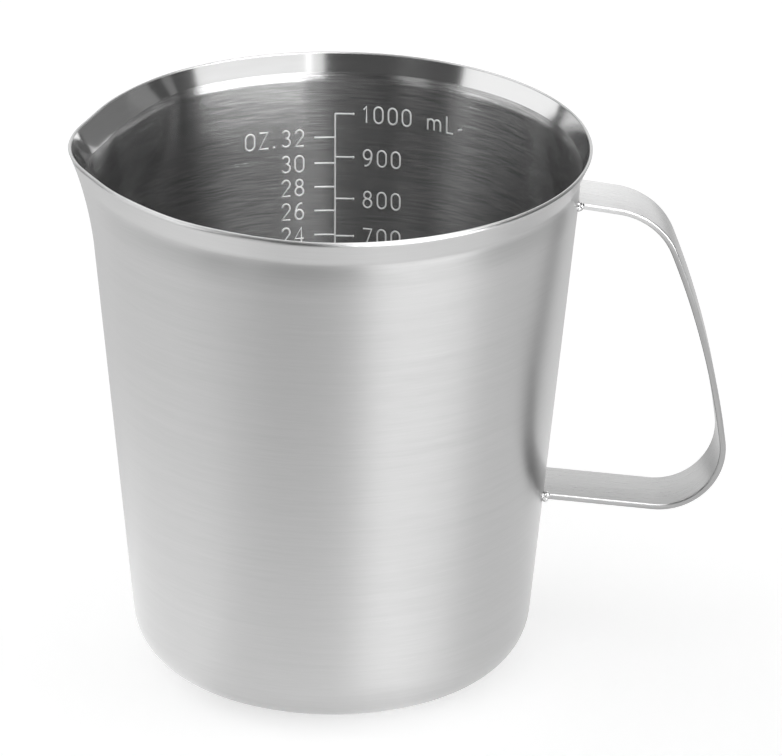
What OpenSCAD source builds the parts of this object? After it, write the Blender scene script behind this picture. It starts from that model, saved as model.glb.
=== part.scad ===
// Stainless steel measuring jug: a drawn cup with a pressed pour spout, and a bent strap
// handle welded to its wall. All sizes are in millimetres. The origin is the centre of the
// base, on the surface that the jug stands on. +Z is up, +X points to the handle and -X to
// the spout.

/* [Cup] */
// Height of the cup, from the surface it stands on to its rim
cup_h = 133.5; // [115:0.5:150]
// Outside diameter at which the slope of the wall would meet the standing surface
foot_d = 94.8; // [84:0.2:104]
// Outside diameter at which the slope of the wall would meet the rim
mouth_d = 120.4; // [112:0.2:130]
// Thickness of the steel sheet
sheet_t = 0.7; // [0.5:0.05:1.2]
// Outside radius of the corner between base and wall
corner_r = 14; // [6:0.5:20]

/* [Lip] */
// Height of the flared band below the rim
lip_h = 7; // [4:0.5:10]
// How far the rim stands out from the slope of the wall
lip_flare = 1.8; // [0.6:0.1:3]

/* [Spout] */
// How far the tip of the spout stands out from the round rim
spout_out = 1.8; // [0.6:0.1:3]
// How far below the rim the spout starts to leave the wall
spout_drop = 26.5; // [15:0.5:40]
// Radius of the rounded tip at the rim, seen from above
spout_tip_r = 39; // [20:1:46]

/* [Handle strap] */
// Width of the strap
strap_w = 16.5; // [10:0.5:22]
// Thickness of the strap
strap_t = 1.5; // [1:0.1:2.5]
// Rounding of the strap's long edges
strap_edge_r = 0.4; // [0.2:0.05:0.5]
// How far below the rim the middle of the upper arm meets the wall
upper_joint_drop = 13.2; // [10:0.1:26]
// Height between the places where the two arms meet the wall
joint_span = 76.2; // [66:0.1:88]
// How far out from the wall the upper arm meets the line of the leg
upper_run = 19.4; // [15:0.1:28]
// How far out from the wall the lower arm meets the line of the leg
lower_run = 45.5; // [36:0.1:54]
// Angle at which the upper arm falls away from the wall
upper_fall = 9.8; // [0:0.1:18]
// Angle at which the lower arm falls away from the wall
lower_fall = 6.7; // [0:0.1:14]
// Radius of the upper bend, at the middle of the strap
upper_bend_r = 17.6; // [8:0.1:20]
// Radius of the lower bend, at the middle of the strap
lower_bend_r = 15.1; // [8:0.1:18]
// How far the leg bows out from a straight line between the bends
leg_bow = 4.7; // [0.5:0.1:6]
// Radius of that bow
leg_bow_r = 205; // [80:5:215]

/* [Welds] */
// Radius of each weld nub at the edges of the strap
weld_r = 1.5; // [1.2:0.1:2.5]
// Gap between the strap's ends and the wall, which the welds bridge
weld_gap = 0.2; // [0.1:0.05:0.4]

/* [Hidden] */
$fn = 240;

// Counts of the flat steps that stand for curves
corner_steps = 7;
spout_steps = 6;
lip_steps = 5;
quarter_steps = 30;
upper_bend_steps = 9;
lower_bend_steps = 15;
bow_steps = 10;
edge_steps = 3;
weld_steps = 96;

// How far along the leg, from the upper bend, its bow is widest
bow_share = 0.44;
// How far a strap end runs on into the wall before the wall trims it
trim_overrun = strap_w / 4;

// The wall leans out by the taper, and its line starts tangent to the base corner
taper = atan2((mouth_d - foot_d) / 2, cup_h);
corner_x = foot_d / 2 + corner_r * tan(taper) - corner_r / cos(taper);
lip_z = cup_h - lip_h;
spout_z = cup_h - spout_drop;
rim_r = mouth_d / 2 + lip_flare;
spout_rise = lip_flare + spout_out;
// Heights at which the middles of the two arms meet the wall
upper_joint_z = cup_h - upper_joint_drop;
lower_joint_z = upper_joint_z - joint_span;
// Centre of the spout's round tip, seen from above, measured from the cup's axis
tip_x = rim_r + spout_out - spout_tip_r;

// Outside radius of the round cup at a height, with the lip's flare
function ring_r(z) = foot_d / 2 + z * tan(taper) + lip_flare * pow(max(0, z - lip_z) / lip_h, 2);

// Sheet thickness measured level at a height, because the wall and the lip lean out
function level_t(z) = sheet_t / cos(atan(tan(taper) + 2 * lip_flare * max(0, z - lip_z) / pow(lip_h, 2)));

// How far the spout stands out from the round cup along its middle
function spout_b(z) = foot_d / 2 + z * tan(taper) + spout_rise * pow(max(0, z - spout_z) / spout_drop, 2)
                      - ring_r(z);

// Outside radius at a height and an angle from the spout's middle: the outline at each height
// is the cup's circle and the tip's circle, joined by straight flanks tangent to both
function spout_r(z, turn) =
    let (cup = ring_r(z),
         out = spout_b(z),
         tip = cup + out - tip_x,
         flank = acos(1 - out / tip_x),
         tip_end = atan2(tip * sin(flank), tip_x + tip * cos(flank)),
         away = abs(turn))
    away >= flank ? cup
    : away >= tip_end ? cup / cos(flank - away)
    : tip_x * cos(away) + sqrt(pow(tip, 2) - pow(tip_x * sin(away), 2));

// Heights of the wall's rings, from the foot of the spout to the rim
levels = concat([for (i = [0:spout_steps]) spout_z + (lip_z - spout_z) * i / spout_steps],
                [for (i = [1:lip_steps]) lip_z + lip_h * i / lip_steps]);

// The sheet's section as pairs of an outer and an inner point, from the base's edge to the rim
function sheet_pairs(turn) = concat(
    [for (i = [0:corner_steps])
        let (a = (90 - taper) * i / corner_steps - 90)
        [for (depth = [0, sheet_t])
            let (r = corner_r - depth)
            [corner_x + r * cos(a), depth + r * (1 + sin(a))]]],
    [for (z = levels)
        let (r = spout_r(z, turn))
        [[r, z], [r - level_t(z), z]]]);

// Section of the round cup, as far from the spout as its quarter reaches
round_pairs = sheet_pairs(45);
last_pair = len(round_pairs) - 1;

// The three quarters of the cup that are round
module round_quarters() {
    rotate(90)
        rotate_extrude(angle = 270)
            polygon(concat([[0, 0]],
                           [for (pair = round_pairs) pair[0]],
                           [for (i = [last_pair:-1:0]) round_pairs[i][1]],
                           [[0, sheet_t]]));
}

// The quarter of the cup with the spout in its middle, lofted through sections of the sheet
// that are a few degrees apart and share the cup's axis
module spout_quarter() {
    pairs = last_pair + 1;
    stations = [for (i = [0:quarter_steps]) 90 * i / quarter_steps];
    points = concat([[0, 0, 0], [0, 0, sheet_t]],
                    [for (a = stations)
                        for (pair = sheet_pairs(a - 45))
                            for (p = pair) [p[0] * cos(a), p[0] * sin(a), p[1]]]);
    function outer(i, k) = 2 * (1 + i * pairs + k);
    function inner(i, k) = outer(i, k) + 1;
    under = [concat([0], [for (i = [0:quarter_steps]) outer(i, 0)])];
    floor_top = [concat([1], [for (i = [quarter_steps:-1:0]) inner(i, 0)])];
    rim = [for (i = [0:quarter_steps - 1])
        [outer(i, last_pair), inner(i, last_pair), inner(i + 1, last_pair), outer(i + 1, last_pair)]];
    outside = [for (i = [0:quarter_steps - 1])
        for (k = [0:last_pair - 1])
            [outer(i, k), outer(i, k + 1), outer(i + 1, k + 1), outer(i + 1, k)]];
    inside = [for (i = [0:quarter_steps - 1])
        for (k = [0:last_pair - 1])
            [inner(i, k), inner(i + 1, k), inner(i + 1, k + 1), inner(i, k + 1)]];
    near_end = concat([[0, 1, inner(0, 0), outer(0, 0)]],
                      [for (k = [0:last_pair - 1])
                          [inner(0, k), inner(0, k + 1), outer(0, k + 1), outer(0, k)]]);
    far = quarter_steps;
    far_end = concat([[0, outer(far, 0), inner(far, 0), 1]],
                     [for (k = [0:last_pair - 1])
                         [outer(far, k), outer(far, k + 1), inner(far, k + 1), inner(far, k)]]);
    polyhedron(points = points,
               faces = concat(under, floor_top, rim, outside, inside, near_end, far_end));
}

module cup_body() {
    color("silver")
        rotate(135)
            union() {
                round_quarters();
                spout_quarter();
            }
}

// The round cup's outside as a solid, grown by a gap, which trims what is set against the wall
module cup_envelope(gap) {
    rotate_extrude()
        polygon(concat([[0, 0]],
                       [for (pair = round_pairs) pair[0] + [gap, 0]],
                       [[0, cup_h]]));
}

// Points of the strap's route in the plane of the handle, as [distance from the axis, height]
upper_joint = [ring_r(upper_joint_z), upper_joint_z];
lower_joint = [ring_r(lower_joint_z), lower_joint_z];
upper_corner = upper_joint + upper_run * [1, -tan(upper_fall)];
lower_corner = lower_joint + lower_run * [1, -tan(lower_fall)];
leg = lower_corner - upper_corner;
leg_middle = upper_corner + bow_share * leg + leg_bow * [-leg[1], leg[0]] / norm(leg);

function unit(v) = v / norm(v);

// Arc of a radius that rounds the corner of a route, from the side of one point to the other
function bend(before, corner, after, r, steps) =
    let (u = unit(before - corner),
         v = unit(after - corner),
         half = acos(u * v) / 2,
         centre = corner + unit(u + v) * r / sin(half),
         from = corner + u * r / tan(half) - centre,
         start = atan2(from[1], from[0]),
         sweep = (180 - 2 * half) * sign(cross(v, u)))
    [for (i = [0:steps]) centre + r * [cos(start + sweep * i / steps), sin(start + sweep * i / steps)]];

upper_end = upper_joint + trim_overrun * unit(upper_joint - upper_corner);
lower_end = lower_joint + trim_overrun * unit(lower_joint - lower_corner);
route = concat([upper_end],
               bend(upper_joint, upper_corner, leg_middle, upper_bend_r, upper_bend_steps),
               bend(upper_corner, leg_middle, lower_corner, leg_bow_r, bow_steps),
               bend(leg_middle, lower_corner, lower_joint, lower_bend_r, lower_bend_steps),
               [lower_end]);
last_stop = len(route) - 1;

// Outward direction square to the route at one of its points
function route_side(i) =
    let (back = i > 0 ? unit(route[i] - route[i - 1]) : [0, 0],
         ahead = i < last_stop ? unit(route[i + 1] - route[i]) : [0, 0],
         along = unit(back + ahead))
    [-along[1], along[0]];

// Section of the strap as [place across its width, place through its thickness], edges rounded
strap_section = [for (quarter = [0:3])
    for (i = [0:edge_steps])
        let (a = 90 * (quarter + i / edge_steps),
             across = (quarter == 0 || quarter == 3 ? 1 : -1) * (strap_w / 2 - strap_edge_r),
             through = (quarter < 2 ? 1 : -1) * (strap_t / 2 - strap_edge_r))
        [across + strap_edge_r * cos(a), through + strap_edge_r * sin(a)]];

// The strap's section swept along its route, with ends that still run into the wall
module strap_sweep() {
    m = len(strap_section);
    points = [for (i = [0:last_stop])
        for (s = strap_section)
            let (p = route[i] + s[1] * route_side(i))
            [p[0], s[0], p[1]]];
    sides = [for (i = [0:last_stop - 1])
        for (j = [0:m - 1])
            let (next = (j + 1) % m)
            [i * m + j, i * m + next, (i + 1) * m + next, (i + 1) * m + j]];
    first_end = [[for (j = [m - 1:-1:0]) j]];
    last_end = [[for (j = [0:m - 1]) last_stop * m + j]];
    polyhedron(points = points, faces = concat(sides, first_end, last_end));
}

module handle_strap() {
    color("gainsboro")
        difference() {
            strap_sweep();
            cup_envelope(weld_gap);
        }
}

// Bar that the straight stretch of an arm fills next to the wall
module arm_bar(joint, fall) {
    translate([joint[0], 0, joint[1]])
        rotate([0, fall, 0])
            cube([strap_w, strap_w, strap_t], center = true);
}

// One weld nub, on the wall and round the rear edge of the strap
module weld(joint, fall) {
    edge_x = sqrt(pow(joint[0], 2) - pow(strap_w / 2, 2));
    edge_z = joint[1] + (joint[0] - edge_x) * tan(fall);
    color("lightgray")
        difference() {
            translate([edge_x, strap_w / 2, edge_z])
                rotate([-90, 0, 225])
                    sphere(weld_r, $fn = weld_steps);
            cup_envelope(0);
            arm_bar(joint, fall);
        }
}

module upper_weld_rear() weld(upper_joint, upper_fall);
module upper_weld_front() mirror([0, 1, 0]) upper_weld_rear();
module lower_weld_rear() weld(lower_joint, lower_fall);
module lower_weld_front() mirror([0, 1, 0]) lower_weld_rear();

cup_body();
handle_strap();
upper_weld_front();
upper_weld_rear();
lower_weld_front();
lower_weld_rear();
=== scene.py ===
"""Looks of a stainless steel measuring jug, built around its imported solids.

The jug is one drawn cup with a flared, polished lip and a pressed pour spout, a bent strap handle that is
welded to the wall in four places, and a measuring scale stamped into the wall. Lengths of the jug and of
the camera's place are in millimetres and become metres where objects are made. Those of the lamps and the
floor are in metres. +X points to the handle, -X to the spout.
"""

import logging
import math
from dataclasses import dataclass, field
from enum import Enum
from typing import Any, Iterable, Mapping, Optional, Sequence, Union

import bpy
from mathutils import Matrix, Vector


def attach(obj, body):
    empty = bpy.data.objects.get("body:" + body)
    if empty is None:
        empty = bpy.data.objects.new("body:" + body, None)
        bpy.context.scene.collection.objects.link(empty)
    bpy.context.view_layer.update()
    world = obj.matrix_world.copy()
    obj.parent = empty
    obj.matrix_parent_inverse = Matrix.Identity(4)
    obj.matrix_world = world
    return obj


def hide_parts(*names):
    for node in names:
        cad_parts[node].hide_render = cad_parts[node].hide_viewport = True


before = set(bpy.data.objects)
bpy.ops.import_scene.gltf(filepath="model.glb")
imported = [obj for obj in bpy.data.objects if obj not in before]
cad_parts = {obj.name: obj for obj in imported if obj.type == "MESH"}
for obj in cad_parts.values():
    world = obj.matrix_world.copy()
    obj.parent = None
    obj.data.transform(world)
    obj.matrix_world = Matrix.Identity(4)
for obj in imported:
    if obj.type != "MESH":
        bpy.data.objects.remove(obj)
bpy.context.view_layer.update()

BODY = "root"
MM = 0.001
MM3_PER_ML = 1000
QUARTER_TURN = 0.25
FIRST_SEED = 11
NOISE_ROUGHNESS = 0.55
BALL_STEPS = 3
LOG = logging.getLogger("jug")

Point = tuple[float, float]
Stroke = list[Point]


class Grain(Enum):
    """Which way the lines of a ground steel surface run."""

    ROUND = "round the cup's axis"
    ALONG = "along the strap"
    CAST = "no way, as on weld metal"


class Zone(Enum):
    """Bands of the cup's sheet, in the order in which its section passes them."""

    OUTSIDE = 0.0
    LIP_OUTSIDE = 1.0
    EDGE = 2.0
    LIP_INSIDE = 3.0
    INSIDE = 4.0


class Side(Enum):
    """Which edge of the strap a weld sits on."""

    FRONT = -1
    REAR = 1


class Tick(Enum):
    """Which side of the scale's line a tick stands on."""

    RIGHT = 1.0
    LEFT = 2.0


@dataclass(frozen=True)
class Wire:
    """One value in a node tree. Sums, products and comparisons add math nodes to the tree."""

    bench: "NodeBench"
    socket: bpy.types.NodeSocket

    def __add__(self, other: "Value") -> "Wire":
        """Sum of two values."""
        return self.bench.math("ADD", self, other)

    def __sub__(self, other: "Value") -> "Wire":
        """Difference of two values."""
        return self.bench.math("SUBTRACT", self, other)

    def __mul__(self, other: "Value") -> "Wire":
        """Product of two values."""
        return self.bench.math("MULTIPLY", self, other)

    def __truediv__(self, other: "Value") -> "Wire":
        """Quotient of two values."""
        return self.bench.math("DIVIDE", self, other)

    def __rsub__(self, other: float) -> "Wire":
        """A plain number less this value."""
        return self.bench.math("SUBTRACT", other, self)

    def __gt__(self, other: "Value") -> "Wire":
        """1 where this value is over another, and 0 elsewhere."""
        return self.bench.math("GREATER_THAN", self, other)

    def __lt__(self, other: "Value") -> "Wire":
        """1 where this value is under another, and 0 elsewhere."""
        return self.bench.math("LESS_THAN", self, other)


Value = Union[Wire, float, int, tuple, bpy.types.ID]
Inputs = Optional[Mapping[Any, Value]]


class NodeBench:
    """A node tree under construction, with short ways to add and join nodes."""

    def __init__(self, tree: bpy.types.NodeTree) -> None:
        """Starts work on the tree that the nodes go into."""
        self.tree = tree

    def node(self, kind: str, inputs: Inputs = None, **settings: Any) -> bpy.types.Node:
        """Adds one node.

        Args:
            kind: Blender's name of the node's type.
            inputs: Values or wires for its sockets, by name or number.
            settings: Values of the node's own properties.

        Returns:
            The new node.
        """
        made = self.tree.nodes.new(kind)
        for name, value in settings.items():
            setattr(made, name, value)
        for key, value in (inputs or {}).items():
            if isinstance(value, Wire):
                self.tree.links.new(value.socket, made.inputs[key])
            else:
                made.inputs[key].default_value = value
        return made

    def wire(self, kind: str, inputs: Inputs = None, output: Any = 0, **settings: Any) -> Wire:
        """Adds one node, as node() does, and gives the wire from one output, by name or number."""
        return Wire(self, self.node(kind, inputs, **settings).outputs[output])

    def wires(self, kind: str, outputs: Iterable[Any], inputs: Inputs = None) -> list[Wire]:
        """Adds one node, as node() does, and gives the wires from several outputs."""
        made = self.node(kind, inputs)
        return [Wire(self, made.outputs[key]) for key in outputs]

    def math(self, operation: str, *values: Value) -> Wire:
        """Adds one math node for an operation and its one, two or three values."""
        return self.wire("ShaderNodeMath", dict(enumerate(values)), operation=operation)

    def from_zero(self, value: Value) -> Wire:
        """A value, or 0 where it is below 0."""
        return self.math("MAXIMUM", value, 0.0)

    def from_axis(self, x: Wire, y: Wire) -> Wire:
        """Distance of a place from the upright axis."""
        return self.math("SQRT", x * x + y * y)

    def choose(self, test: Wire, yes: Value, no: Value) -> Wire:
        """Gives one value where a test is 1, and another where it is 0."""
        return test * yes + (1.0 - test) * no

    def ramp(self, value: Value, low: float, high: float, shape: str = "SMOOTHSTEP") -> Wire:
        """Rises from 0 at a low value to 1 at a high one; with the low one above, it falls."""
        inputs = {"Value": value, "From Min": low, "From Max": high}
        return self.wire("ShaderNodeMapRange", inputs, interpolation_type=shape)

    def vector(self, x: Value, y: Value, z: Value) -> Wire:
        """Joins three values into a vector."""
        return self.wire("ShaderNodeCombineXYZ", {"X": x, "Y": y, "Z": z})

    def parts(self, vector: Wire) -> tuple[Wire, Wire, Wire]:
        """Splits a vector into its three values."""
        x, y, z = self.wires("ShaderNodeSeparateXYZ", range(3), {0: vector})
        return x, y, z

    def noise(self, place: Wire, scale: float = 1.0, detail: float = 2.0) -> Wire:
        """Smooth noise from 0 to 1, with how fine it is and how many finer layers it has."""
        inputs = {"Vector": place, "Scale": scale, "Detail": detail, "Roughness": NOISE_ROUGHNESS}
        return self.wire("ShaderNodeTexNoise", inputs)


class FormTree(NodeBench):
    """A Geometry Nodes tree with named sizes, which turns an object's own points into a finished mesh."""

    def __init__(self, name: str) -> None:
        """Starts an empty tree.

        Args:
            name: Name of the tree.
        """
        super().__init__(bpy.data.node_groups.new(name, "GeometryNodeTree"))
        self.values: dict[str, Value] = {}
        for way in ("INPUT", "OUTPUT"):
            self.tree.interface.new_socket("Geometry", in_out=way, socket_type="NodeSocketGeometry")
        self.entry = self.tree.nodes.new("NodeGroupInput")
        self.exit = self.tree.nodes.new("NodeGroupOutput")
        self.source = Wire(self, self.entry.outputs["Geometry"])

    def size(self, name: str, value: Union[float, int]) -> Wire:
        """Adds a named input: a whole number becomes a count, any other a size.

        Args:
            name: Name of the input.
            value: Its value for this object.

        Returns:
            The wire from the input.
        """
        kind = "NodeSocketInt" if isinstance(value, int) else "NodeSocketFloat"
        item = self.tree.interface.new_socket(name, in_out="INPUT", socket_type=kind)
        self.values[item.identifier] = value
        return Wire(self, self.entry.outputs[name])

    def position(self) -> tuple[Wire, Wire, Wire]:
        """Place of each point, as three values."""
        return self.parts(self.wire("GeometryNodeInputPosition"))

    def move(self, geometry: Wire, place: Wire, only: Value = True) -> Wire:
        """Puts the chosen points of a geometry in new places."""
        inputs = {"Geometry": geometry, "Selection": only, "Position": place}
        return self.wire("GeometryNodeSetPosition", inputs)

    def keep(self, geometry: Wire, name: str, value: Value, data_type: str = "FLOAT",
             domain: str = "POINT") -> Wire:
        """Stores a value on each point, or in another domain, under a name."""
        inputs = {"Geometry": geometry, "Name": name, "Value": value}
        return self.wire("GeometryNodeStoreNamedAttribute", inputs, data_type=data_type, domain=domain)

    def kept(self, name: str) -> Wire:
        """Reads back what keep() stored."""
        return self.wire("GeometryNodeInputNamedAttribute", {"Name": name}, data_type="FLOAT")

    def real(self, geometry: Wire) -> Wire:
        """Makes instances into plain geometry."""
        return self.wire("GeometryNodeRealizeInstances", {0: geometry})

    def ball(self, radius: Wire) -> Wire:
        """A round drop with a radius."""
        return self.wire("GeometryNodeMeshIcoSphere", {"Radius": radius, "Subdivisions": BALL_STEPS})

    def scatter(self, points: Wire, thing: Wire, scale: Value = (1.0, 1.0, 1.0)) -> Wire:
        """Puts a thing on every point, in a scale."""
        inputs = {"Points": points, "Instance": thing, "Scale": scale}
        return self.wire("GeometryNodeInstanceOnPoints", inputs)

    def sweep(self, route: Wire, section: Wire) -> Wire:
        """Draws a section along a route and closes its ends."""
        inputs = {"Curve": route, "Profile Curve": section, "Fill Caps": True}
        return self.wire("GeometryNodeCurveToMesh", inputs)

    def join(self, *geometry: Wire) -> Wire:
        """Joins several geometries into one.

        Args:
            geometry: The geometries.

        Returns:
            The joined one.
        """
        made = self.tree.nodes.new("GeometryNodeJoinGeometry")
        for part in geometry:
            self.tree.links.new(part.socket, made.inputs[0])
        return Wire(self, made.outputs[0])

    def finish(self, geometry: Wire, material: bpy.types.Material,
               others: Iterable[tuple[Wire, bpy.types.Material]] = ()) -> None:
        """Ends the tree: smooth shading, instances made real, and materials.

        Args:
            geometry: The made geometry.
            material: Its main material.
            others: Where other materials go, as a choice of faces and a material.
        """
        dressed = self.real(self.wire("GeometryNodeSetShadeSmooth", {0: geometry}))
        for where, finish in [(True, material), *others]:
            inputs = {"Geometry": dressed, "Selection": where, "Material": finish}
            dressed = self.wire("GeometryNodeSetMaterial", inputs)
        self.tree.links.new(dressed.socket, self.exit.inputs["Geometry"])

    def bake(self, name: str, points: bpy.types.Mesh) -> bpy.types.Object:
        """Runs the tree on a mesh and keeps the result as a plain mesh object.

        Args:
            name: Name of the piece.
            points: The mesh that the tree starts from.

        Returns:
            The piece, with its faces outwards and no modifier left.
        """
        piece = new_object(name, points)
        modifier = piece.modifiers.new("form", "NODES")
        modifier.node_group = self.tree
        for identifier, value in self.values.items():
            modifier[identifier] = value
        graph = bpy.context.evaluated_depsgraph_get()
        made = bpy.data.meshes.new_from_object(piece.evaluated_get(graph), preserve_all_data_layers=True,
                                               depsgraph=graph)
        piece.modifiers.clear()
        piece.data = made
        made.name = name
        bpy.data.meshes.remove(points)
        if enclosed_volume(made) < 0:
            made.flip_normals()
        return piece


def new_object(name: str, data: bpy.types.ID) -> bpy.types.Object:
    """Puts a new object into the scene.

    Args:
        name: Name of the object.
        data: Its mesh, lamp or lens.

    Returns:
        The object.
    """
    made = bpy.data.objects.new(name, data)
    bpy.context.scene.collection.objects.link(made)
    return made


def empty_bench(owner: Union[bpy.types.Material, bpy.types.World]) -> NodeBench:
    """Starts the node tree of a material or a world from nothing.

    Args:
        owner: The material or the world.

    Returns:
        Its empty tree.
    """
    owner.use_nodes = True
    owner.node_tree.nodes.clear()
    return NodeBench(owner.node_tree)


def direction(azimuth: float, elevation: float) -> Vector:
    """Direction from the jug to a place, by its azimuth from the front and its elevation, in degrees."""
    a, e = math.radians(azimuth), math.radians(elevation)
    return Vector((math.sin(a) * math.cos(e), -math.cos(a) * math.cos(e), math.sin(e)))


def enclosed_volume(mesh: bpy.types.Mesh) -> float:
    """Volume inside a closed mesh, which is below 0 where its faces point inwards.

    Args:
        mesh: A closed mesh.

    Returns:
        The volume in cubic metres.
    """
    mesh.calc_loop_triangles()
    total = 0.0
    for triangle in mesh.loop_triangles:
        a, b, c = (mesh.vertices[i].co for i in triangle.vertices)
        total += a.dot(b.cross(c)) / 6
    return total


def line_mesh(name: str, strokes: Iterable[Sequence[Sequence[float]]]) -> bpy.types.Mesh:
    """Makes a mesh of plain lines.

    Args:
        name: Name of the mesh.
        strokes: Lines, each a run of points in millimetres.

    Returns:
        The mesh, in metres.
    """
    spots: list[Vector] = []
    edges: list[tuple[int, int]] = []
    for stroke in strokes:
        start = len(spots)
        spots += [Vector(p).to_3d() * MM for p in stroke]
        edges += [(i, i + 1) for i in range(start, len(spots) - 1)]
    made = bpy.data.meshes.new(name)
    made.from_pydata(spots, edges, [])
    return made


def arc(centre: Point, radii: Point, start: float, end: float, steps: int = 10) -> Stroke:
    """Points along part of an ellipse, from one angle in degrees to another."""
    turns = [math.radians(start + (end - start) * i / steps) for i in range(steps + 1)]
    return [(centre[0] + radii[0] * math.cos(t), centre[1] + radii[1] * math.sin(t)) for t in turns]


def enlist(piece: bpy.types.Object, node: Optional[str] = None) -> bpy.types.Object:
    """Makes a finished piece part of the jug.

    Args:
        piece: The piece.
        node: The solid that it stands for, where there is one.

    Returns:
        The piece.
    """
    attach(piece, BODY)
    if node:
        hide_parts(node)
    return piece


@dataclass(frozen=True)
class SteelFinish:
    """A steel surface: its tone, its gloss and the fine lines that the grinding belt left."""

    name: str
    grain: Grain
    tone: float
    roughness: float
    anisotropy: float
    line_pitch: float
    line_run: float
    line_depth: float
    tone_spread: float = 0.04
    roughness_spread: float = 0.06
    streak_share: float = 0.4
    lip_at: Optional[float] = None
    lip_gain: float = 0.04
    # Painted shade under the lip's overhang: how much darker the wall gets, and how far below the lip it
    # starts and becomes full.
    neck_loss: float = 0.07
    neck_run: float = 9.0
    lip_fade: tuple[float, float] = (-62.0, -38.0)
    # Painted shade: how much darker the tone gets between two places, along the strap or along X.
    fade: float = 0.0
    fade_run: tuple[float, float] = (4.0, 28.0)
    line_detail: float = 3.0
    streak_scale: float = 0.13
    lip_blend: float = 1.5
    neck_clear: float = 1.0

    def spot(self, bench: NodeBench) -> tuple[Wire, Wire, Wire]:
        """Place on the surface: along, across and through the strap, or the piece's own X, Y and Z.

        Args:
            bench: The material's node tree.

        Returns:
            The three values, in metres.
        """
        if self.grain is Grain.ALONG:
            stored = bench.wire("ShaderNodeAttribute", output="Vector", attribute_name="strap_grain")
            return bench.parts(stored)
        return bench.parts(bench.wire("ShaderNodeTexCoord", output="Object"))

    def place(self, bench: NodeBench) -> Wire:
        """Coordinates in which the lines are one unit apart and one unit long.

        Args:
            bench: The material's node tree.

        Returns:
            The coordinates.
        """
        run, pitch = MM * self.line_run, MM * self.line_pitch
        x, y, z = self.spot(bench)
        if self.grain is Grain.ALONG:
            return bench.vector(x / run, y / pitch, z / pitch)
        return bench.vector(x / run, y / run, (z + bench.from_axis(x, y)) / pitch)

    def tangent(self, bench: NodeBench) -> Wire:
        """Direction of the lines on the surface.

        Args:
            bench: The material's node tree.

        Returns:
            The direction.
        """
        if self.grain is Grain.ALONG:
            return bench.wire("ShaderNodeTangent", direction_type="UV_MAP", uv_map="strap_map")
        return bench.wire("ShaderNodeTangent", direction_type="RADIAL", axis="Z")

    def material(self) -> bpy.types.Material:
        """Makes the material.

        Returns:
            The new material.
        """
        made = bpy.data.materials.new(self.name)
        bench = empty_bench(made)
        place = self.place(bench)
        lines = bench.noise(place, detail=self.line_detail)
        streaks = bench.noise(place, scale=self.streak_scale)
        mixed = lines * (1 - self.streak_share) + streaks * self.streak_share - 0.5
        grey = bench.math("ADD", mixed * (2 * self.tone_spread), self.tone)
        # Over the lip the tone rises a little. Just under it, a painted shade darkens the wall where the
        # lip's overhang shades it. Both fade out towards the spout.
        if self.lip_at is not None:
            x, _, height = self.spot(bench)
            height, clear = height / MM, bench.ramp(x / MM, *self.lip_fade)
            above = bench.ramp(height, self.lip_at - self.lip_blend, self.lip_at + self.lip_blend)
            below = bench.ramp(height, self.lip_at - self.neck_run, self.lip_at - self.neck_clear)
            grey = grey + clear * (above * self.lip_gain - below * (1.0 - above) * self.neck_loss)
        # Painted shade: darker beyond one place, down the strap past its upper arm, or on the marks towards
        # the handle.
        if self.fade > 0:
            grey = grey - bench.ramp(self.spot(bench)[0] / MM, *self.fade_run) * self.fade
        roughness = bench.math("ADD", mixed * (2 * self.roughness_spread), self.roughness)
        bump = {"Strength": 1.0, "Distance": MM * self.line_depth, "Height": lines}
        inputs = {
            "Base Color": bench.wire("ShaderNodeCombineColor", {0: grey, 1: grey, 2: grey}),
            "Metallic": 1.0,
            "Roughness": roughness,
            "Anisotropic": self.anisotropy,
            "Anisotropic Rotation": QUARTER_TURN,
            "Normal": bench.wire("ShaderNodeBump", bump),
        }
        if self.anisotropy > 0:
            inputs["Tangent"] = self.tangent(bench)
        shader = bench.wire("ShaderNodeBsdfPrincipled", inputs)
        bench.node("ShaderNodeOutputMaterial", {"Surface": shader})
        return made


# Has a painted shade just under the lip.
OUTSIDE_STEEL = SteelFinish(
    "brushed_outside", Grain.ROUND, tone=0.465, roughness=0.345, anisotropy=0.7, line_pitch=0.16, line_run=7,
    line_depth=0.0012, tone_spread=0.055, lip_at=126.3)
INSIDE_STEEL = SteelFinish(
    "brushed_inside", Grain.ROUND, tone=0.44, roughness=0.26, anisotropy=0.9, line_pitch=0.34, line_run=8,
    line_depth=0.003, tone_spread=0.27, roughness_spread=0.03, streak_share=0.12)
LIP_STEEL = SteelFinish(
    "polished_lip", Grain.ROUND, tone=0.66, roughness=0.12, anisotropy=0.0, line_pitch=1.2, line_run=9,
    line_depth=0.0008, tone_spread=0.03, roughness_spread=0.03)
EDGE_STEEL = SteelFinish(
    "ground_edge", Grain.ROUND, tone=0.48, roughness=0.38, anisotropy=0.0, line_pitch=0.3, line_run=9,
    line_depth=0.0008, tone_spread=0.03, roughness_spread=0.03)
# Painted shade: darker down the strap past its upper arm.
STRAP_STEEL = SteelFinish(
    "satin_strap", Grain.ALONG, tone=0.61, roughness=0.28, anisotropy=0.6, line_pitch=0.26, line_run=10,
    line_depth=0.003, tone_spread=0.1, roughness_spread=0.04, streak_share=0.2, fade=0.24)
WELD_STEEL = SteelFinish(
    "weld_metal", Grain.CAST, tone=0.6, roughness=0.22, anisotropy=0.0, line_pitch=0.6, line_run=0.6,
    line_depth=0.03, tone_spread=0.08, roughness_spread=0.1)
# Painted shade: the marks towards the handle are darker.
MARK_STEEL = SteelFinish(
    "stamped_marks", Grain.CAST, tone=0.97, roughness=0.85, anisotropy=0.0, line_pitch=0.4, line_run=0.4,
    line_depth=0.004, tone_spread=0.04, roughness_spread=0.06, fade=0.2, fade_run=(-4.0, 6.0))


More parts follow.
